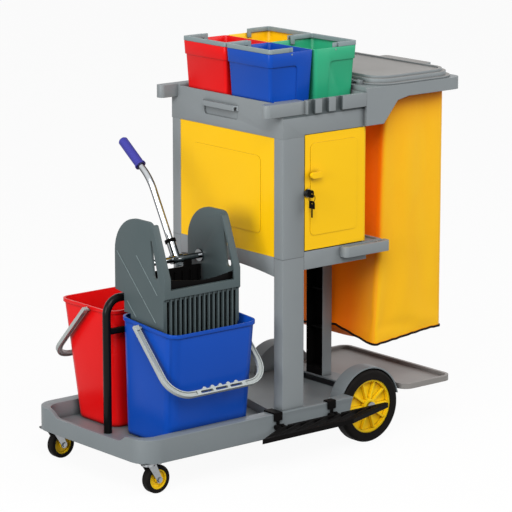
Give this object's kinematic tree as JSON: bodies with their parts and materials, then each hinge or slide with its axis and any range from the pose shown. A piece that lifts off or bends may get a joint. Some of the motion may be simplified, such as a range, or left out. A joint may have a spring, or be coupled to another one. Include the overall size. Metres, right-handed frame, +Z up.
{
  "type": "janitor cart",
  "caption": "Wheeled janitor cart with a lockable cabinet, tool tray, lidded waste bag, mop buckets with a lever wringer, and fold-up tool rests.",
  "frame": {"origin": "on the floor, at the middle of the cart's length and width", "axes": "+X from the mop buckets towards the waste bag, +Y away from the cabinet door, +Z up"},
  "size_m": [1.12, 0.67, 1.0984],
  "materials": {
    "grey_plastic": "moulded, fine grain",
    "slate_plastic": "moulded, fine grain",
    "black_plastic": "moulded, satin",
    "yellow_plastic": "moulded, satin",
    "red_plastic": "moulded, semi-gloss",
    "blue_plastic": "moulded, semi-gloss",
    "green_plastic": "moulded, semi-gloss",
    "small_yellow_plastic": "moulded, semi-gloss",
    "pale_plastic": "moulded, satin",
    "bag_cloth": "coated cloth, slight sheen",
    "tyre_rubber": "matt",
    "zinc_steel": "zinc plated",
    "chrome_tube": "polished",
    "grip_rubber": "satin"
  },
  "bodies": {
    "cart_frame": {"base_deck": "grey_plastic", "rear_platform": "grey_plastic", "platform_bolts": "zinc_steel", "front_post_right": "grey_plastic", "front_post_left": "grey_plastic", "rear_post": "grey_plastic", "cabinet_shelf": "grey_plastic", "front_panel": "yellow_plastic", "left_panel": "yellow_plastic", "back_panel": "yellow_plastic", "door_hinge_pins": "zinc_steel", "top_tray": "grey_plastic", "bag_frame": "grey_plastic", "lid_hinge_pins": "grey_plastic", "waste_bag": "bag_cloth", "rest_clips": "black_plastic", "rear_axle": "zinc_steel", "caster_plates": "zinc_steel", "caster_bolts": "zinc_steel", "divider_frame": "black_plastic"},
    "door": {"cabinet_door": "yellow_plastic", "door_pull": "yellow_plastic", "lock_barrel": "zinc_steel"},
    "lock": {"lock_plug": "zinc_steel", "door_key": "black_plastic"},
    "hanging_key": {"spare_key": "black_plastic"},
    "lid": {"bag_lid": "grey_plastic"},
    "rest_right": {"tool_rest_right": "black_plastic"},
    "rest_left": {"tool_rest_left": "black_plastic"},
    "rear_wheel_right": {"rear_hub_right": "yellow_plastic", "rear_tyre_right": "tyre_rubber"},
    "rear_wheel_left": {"rear_hub_left": "yellow_plastic", "rear_tyre_left": "tyre_rubber"},
    "caster_right": {"caster_fork_right": "zinc_steel", "caster_axle_right": "zinc_steel"},
    "caster_left": {"caster_fork_left": "zinc_steel", "caster_axle_left": "zinc_steel"},
    "caster_wheel_right": {"caster_hub_right": "yellow_plastic", "caster_tyre_right": "tyre_rubber"},
    "caster_wheel_left": {"caster_hub_left": "yellow_plastic", "caster_tyre_left": "tyre_rubber"},
    "blue_bucket": {"blue_mop_bucket": "blue_plastic"},
    "blue_bucket_bail": {"blue_bail": "pale_plastic"},
    "red_bucket": {"red_mop_bucket": "red_plastic"},
    "red_bucket_bail": {"red_bail": "pale_plastic"},
    "wringer": {"wringer_body": "slate_plastic", "strainer_plate": "black_plastic"},
    "wringer_press": {"wringer_shaft": "chrome_tube", "wringer_lever": "chrome_tube", "lever_collar": "black_plastic", "lever_grip": "grip_rubber", "press_plate": "black_plastic"},
    "red_pail": {"pail_red": "red_plastic"},
    "red_pail_bail": {"pail_bail_red": "grey_plastic"},
    "blue_pail": {"pail_blue": "blue_plastic"},
    "blue_pail_bail": {"pail_bail_blue": "grey_plastic"},
    "yellow_pail": {"pail_yellow": "small_yellow_plastic"},
    "yellow_pail_bail": {"pail_bail_yellow": "grey_plastic"},
    "green_pail": {"pail_green": "green_plastic"},
    "green_pail_bail": {"pail_bail_green": "grey_plastic"}
  },
  "joints": [
    {"name": "door_swing", "type": "hinge", "parent": "cart_frame", "child": "door", "pos_m": [0.186, -0.229, 0.725], "axis": [0, 0, 1], "range_deg": [0, 110]},
    {"name": "key_turn", "type": "hinge", "parent": "door", "child": "lock", "pos_m": [-0.012, -0.238, 0.723], "axis": [0, 1, 0], "range_deg": [0, 90]},
    {"name": "spare_key_swing", "type": "hinge", "parent": "lock", "child": "hanging_key", "pos_m": [-0.012, -0.252, 0.723], "axis": [-1, 0, 0], "range_deg": [-6, 40]},
    {"name": "lid_lift", "type": "hinge", "parent": "cart_frame", "child": "lid", "pos_m": [0.224, 0, 0.984], "axis": [0, -1, 0], "range_deg": [0, 90]},
    {"name": "rest_right_fold", "type": "hinge", "parent": "cart_frame", "child": "rest_right", "pos_m": [-0.03, -0.252, 0.116], "axis": [-1, 0, 0], "range_deg": [0, 80]},
    {"name": "rest_left_fold", "type": "hinge", "parent": "cart_frame", "child": "rest_left", "pos_m": [-0.03, 0.252, 0.116], "axis": [1, 0, 0], "range_deg": [0, 80]},
    {"name": "rear_wheel_right_roll", "type": "hinge", "parent": "cart_frame", "child": "rear_wheel_right", "pos_m": [0.235, -0.192, 0.1], "axis": [0, 1, 0], "continuous": true},
    {"name": "rear_wheel_left_roll", "type": "hinge", "parent": "cart_frame", "child": "rear_wheel_left", "pos_m": [0.235, 0.192, 0.1], "axis": [0, 1, 0], "continuous": true},
    {"name": "caster_right_swivel", "type": "hinge", "parent": "cart_frame", "child": "caster_right", "pos_m": [-0.52, -0.207, 0.08], "axis": [0, 0, 1], "continuous": true},
    {"name": "caster_left_swivel", "type": "hinge", "parent": "cart_frame", "child": "caster_left", "pos_m": [-0.52, 0.207, 0.08], "axis": [0, 0, 1], "continuous": true},
    {"name": "caster_right_roll", "type": "hinge", "parent": "caster_right", "child": "caster_wheel_right", "pos_m": [-0.496, -0.207, 0.0375], "axis": [0, 1, 0], "continuous": true},
    {"name": "caster_left_roll", "type": "hinge", "parent": "caster_left", "child": "caster_wheel_left", "pos_m": [-0.496, 0.207, 0.0375], "axis": [0, 1, 0], "continuous": true},
    {"name": "blue_bucket_lift", "type": "slide", "parent": "cart_frame", "child": "blue_bucket", "axis": [0, 0, 1], "range_m": [0, 0.2]},
    {"name": "blue_bail_swing", "type": "hinge", "parent": "blue_bucket", "child": "blue_bucket_bail", "pos_m": [-0.3155, -0.10112, 0.40686], "axis": [-1, 0, 0], "range_deg": [0, 100]},
    {"name": "red_bucket_lift", "type": "slide", "parent": "cart_frame", "child": "red_bucket", "axis": [0, 0, 1], "range_m": [0, 0.2]},
    {"name": "red_bail_swing", "type": "hinge", "parent": "red_bucket", "child": "red_bucket_bail", "pos_m": [-0.3155, 0.12512, 0.414], "axis": [1, 0, 0], "range_deg": [0, 140]},
    {"name": "wringer_lift", "type": "slide", "parent": "blue_bucket", "child": "wringer", "axis": [0, 0, 1], "range_m": [0, 0.2]},
    {"name": "lever_press", "type": "hinge", "parent": "wringer", "child": "wringer_press", "pos_m": [-0.3225, -0.028, 0.551], "axis": [-1, 0, 0], "range_deg": [0, 40]},
    {"name": "red_pail_lift", "type": "slide", "parent": "cart_frame", "child": "red_pail", "axis": [0, 0, 1], "range_m": [0, 0.25]},
    {"name": "red_pail_bail_swing", "type": "hinge", "parent": "red_pail", "child": "red_pail_bail", "pos_m": [-0.0215, 0.091, 1.081], "axis": [0, 1, 0], "range_deg": [0, 95]},
    {"name": "blue_pail_lift", "type": "slide", "parent": "cart_frame", "child": "blue_pail", "axis": [0, 0, 1], "range_m": [0, 0.25]},
    {"name": "blue_pail_bail_swing", "type": "hinge", "parent": "blue_pail", "child": "blue_pail_bail", "pos_m": [-0.0215, -0.091, 1.081], "axis": [0, 1, 0], "range_deg": [0, 95]},
    {"name": "yellow_pail_lift", "type": "slide", "parent": "cart_frame", "child": "yellow_pail", "axis": [0, 0, 1], "range_m": [0, 0.25]},
    {"name": "yellow_pail_bail_swing", "type": "hinge", "parent": "yellow_pail", "child": "yellow_pail_bail", "pos_m": [0.1295, 0.091, 1.081], "axis": [0, -1, 0], "range_deg": [0, 95]},
    {"name": "green_pail_lift", "type": "slide", "parent": "cart_frame", "child": "green_pail", "axis": [0, 0, 1], "range_m": [0, 0.25]},
    {"name": "green_pail_bail_swing", "type": "hinge", "parent": "green_pail", "child": "green_pail_bail", "pos_m": [0.1295, -0.091, 1.081], "axis": [0, -1, 0], "range_deg": [0, 95]}
  ]
}
